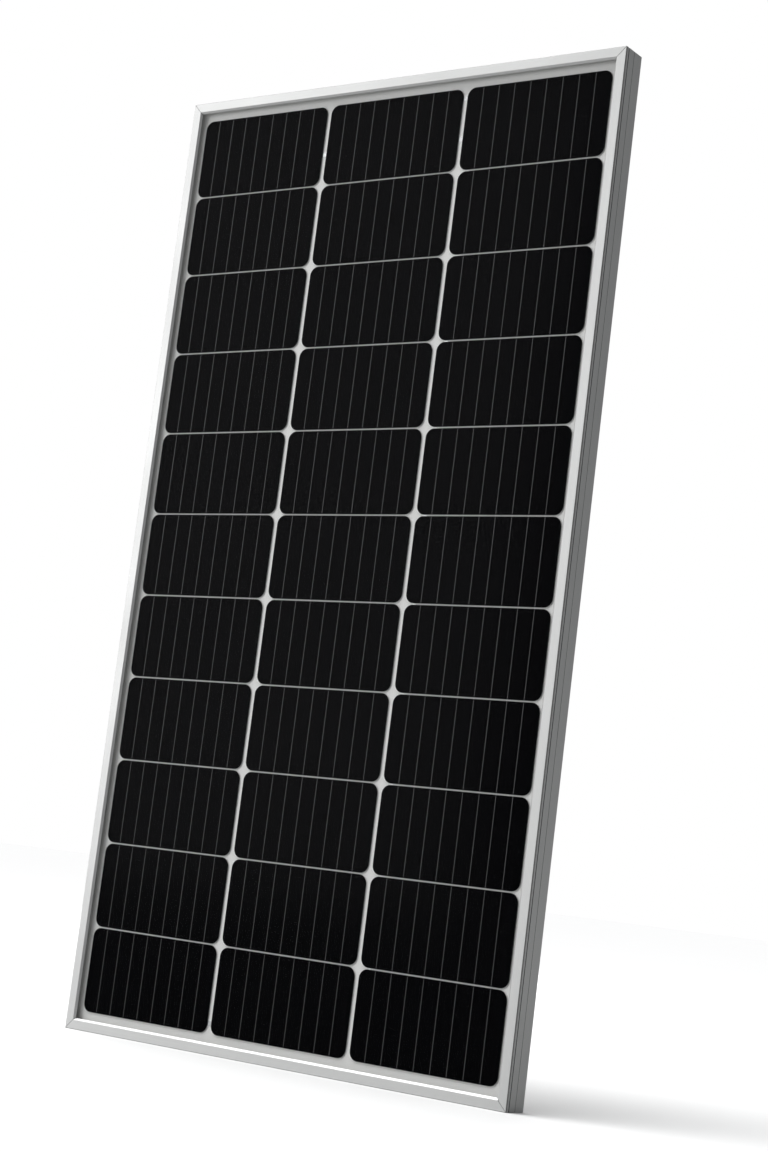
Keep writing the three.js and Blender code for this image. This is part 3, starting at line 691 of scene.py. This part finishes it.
def blank_label():
    """A rating plate with ruled rows and nothing written in them."""
    bm = bmesh.new()
    top = back_y + LABEL_THICK
    flat_sheet(bm, LABEL_LOW, LABEL_HIGH, LABEL_RADIUS, back_y + SURFACE_GAP, top)
    left, right = LABEL_LOW[0] + LABEL_INSET, LABEL_HIGH[0] - LABEL_INSET
    bottom, upper = LABEL_LOW[1] + LABEL_INSET, LABEL_HIGH[1] - LABEL_INSET
    half = RULE_WIDTH / 2
    raised = top + RULE_HEIGHT
    row = (upper - bottom) / LABEL_ROWS
    for i in range(LABEL_ROWS + 1):
        z = bottom + row * i
        flat_sheet(bm, (left, z - half), (right, z + half), RULE_RADIUS, top, raised, 1)
    for x in (left, left + (right - left) * LABEL_SPLIT, right):
        flat_sheet(bm, (x - half, bottom), (x + half, upper), RULE_RADIUS, top, raised, 1)
    piece("rating_label", mesh_of("rating_label", bm), [LABEL, LABEL_RULE])


blank_label()

# ---------------------------------------------------------------- junction box

bevelled("junction_box_base", BOX_PLASTIC, 0.35 * MM)
bevelled("junction_box_lid", BOX_PLASTIC, 0.45 * MM, LID_BODY)
bevelled("lid_seal", RUBBER, 0.5 * MM, LID_BODY, 3)
for end in ("positive", "negative"):
    bevelled("gland_nut_" + end, NUT_PLASTIC, 0.3 * MM, "gland_nut_" + end)
for end in ("positive", "middle", "negative"):
    bevelled("terminal_" + end, TINNED, 0.12 * MM)


RING_OUTER = 3.3 * MM
RING_INNER = 2.5 * MM
RING_WELD = 0.001 * MM
# Radius and distance in from the nut's nose, ending where it starts.
RING_PROFILE = (
    (RING_OUTER, 0.5 * MM), (RING_OUTER, 5.0 * MM),
    (RING_INNER, 4.6 * MM), (RING_INNER, 1.4 * MM),
    (RING_INNER + 0.25 * MM, 0.8 * MM), (RING_OUTER - 0.3 * MM, 0.4 * MM),
    (RING_OUTER, 0.5 * MM),
)


def gland_ring(end):
    """The rubber ring that a gland nut squeezes on to a lead, just inside its nose."""
    low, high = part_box("gland_nut_" + end)
    centre = ((low.x + high.x) / 2, (low.y + high.y) / 2, low.z)
    bm = bmesh.new()
    lathe(bm, RING_PROFILE, centre, "Z", 32)
    bmesh.ops.remove_doubles(bm, verts=bm.verts, dist=RING_WELD)
    mesh = mesh_of("gland_ring_" + end, bm, 40)
    piece("gland_ring_" + end, mesh, RUBBER, "gland_nut_" + end)


for end in ("positive", "negative"):
    gland_ring(end)


DIODE_RADIUS = 2.68 * MM
DIODE_HALF = 4.75 * MM
DIODE_ROUND = 0.5 * MM
DIODE_ARC = 4
LEAD_RADIUS = 0.62 * MM
LEAD_TIP = 0.2 * MM
LEAD_TIP_TAPER = 0.7
BAND_RISE = 0.03 * MM
# Distance along the body from its middle: where the band starts, is at its height, and ends.
BAND_SPAN = (2.2 * MM, 2.25 * MM, 3.45 * MM, 3.5 * MM)


def bypass_diode(number):
    """Moulded body with rounded ends, a cathode band and round leads."""
    node = f"bypass_diode_{number}"
    low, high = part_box(node)
    centre = (low + high) / 2
    reach = (high.x - low.x) / 2
    body = [(LEAD_RADIUS, -DIODE_HALF)]
    for side in (-1, 1):
        corner = []
        for i in range(DIODE_ARC + 1):
            a = math.pi / 2 * i / DIODE_ARC
            radius = DIODE_RADIUS - DIODE_ROUND + DIODE_ROUND * math.sin(a)
            along = DIODE_HALF - DIODE_ROUND + DIODE_ROUND * math.cos(a)
            corner.append((radius, side * along))
        body.extend(corner if side < 0 else reversed(corner))
    body.append((LEAD_RADIUS, DIODE_HALF))
    bm = bmesh.new()
    capped_lathe(bm, body, centre, "X", 36, 0)
    proud = DIODE_RADIUS + BAND_RISE
    band = list(zip((DIODE_RADIUS, proud, proud, DIODE_RADIUS), BAND_SPAN))
    lathe(bm, band, centre, "X", 36, 1)
    for side in (-1, 1):
        wire = [(LEAD_RADIUS, side * DIODE_HALF), (LEAD_RADIUS, side * (reach - LEAD_TIP)),
                (LEAD_RADIUS * LEAD_TIP_TAPER, side * reach)]
        capped_lathe(bm, wire, centre, "X", 16, 2)
    finishes = [EPOXY, BAND, TINNED]
    mesh = mesh_of(node, bm, 40)
    piece(node + "_finished", mesh, finishes, replaced=(node,))


for number in (1, 2):
    bypass_diode(number)


SOLDER_RADIUS = 2.9 * MM
SOLDER_FLATTEN = 0.55  # its radius up the panel, against across it
SOLDER_HEIGHT = 0.55 * MM
SOLDER_RISE = 1.25 * MM
SOLDER_DROP = 1.6 * MM
SOLDER_RINGS = 5
SOLDER_STEPS = 20
SOLDER_WOBBLE = 0.06
SOLDER_PHASE = 900  # turns a terminal's place into a wobble of its own


def solder_joints():
    """Low domes of solder over the ribbons' ends on the terminals."""
    bm = bmesh.new()
    steps = SOLDER_STEPS
    for end in ("positive", "middle", "negative"):
        low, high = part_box("terminal_" + end)
        x, y, z = (low.x + high.x) / 2, low.y + SOLDER_RISE, high.z - SOLDER_DROP
        previous = None
        for ring in range(SOLDER_RINGS):
            b = math.pi / 2 * ring / SOLDER_RINGS
            radius = SOLDER_RADIUS * math.cos(b)
            circle = []
            for i in range(steps):
                a = 2 * math.pi * i / steps
                wobble = 1 + SOLDER_WOBBLE * math.sin(3 * a + x * SOLDER_PHASE)
                across = radius * wobble * math.cos(a)
                up = radius * SOLDER_FLATTEN * wobble * math.sin(a)
                place = (x + across, y + SOLDER_HEIGHT * math.sin(b), z + up)
                circle.append(bm.verts.new(place))
            if previous:
                for i in range(steps):
                    j = (i + 1) % steps
                    bm.faces.new((previous[i], previous[j], circle[j], circle[i]))
            else:
                bm.faces.new(circle)
            previous = circle
        bm.faces.new(previous)
    piece("solder_joints", mesh_of("solder_joints", bm, 50), SOLDER)


solder_joints()

# ---------------------------------------------------------------- floor

FLOOR_HALF = 30.0


def floor():
    """One flat pale sheet that the panel stands on."""
    bm = bmesh.new()
    corners = ((-1, -1), (1, -1), (1, 1), (-1, 1))
    bm.faces.new([bm.verts.new((FLOOR_HALF * x, FLOOR_HALF * y, 0)) for x, y in corners])
    mesh = mesh_of("floor", bm)
    mesh.materials.append(floor_paint())
    made = bpy.data.objects.new("floor", mesh)
    scene.collection.objects.link(made)


floor()

# ---------------------------------------------------------------- the end

bpy.context.view_layer.update()
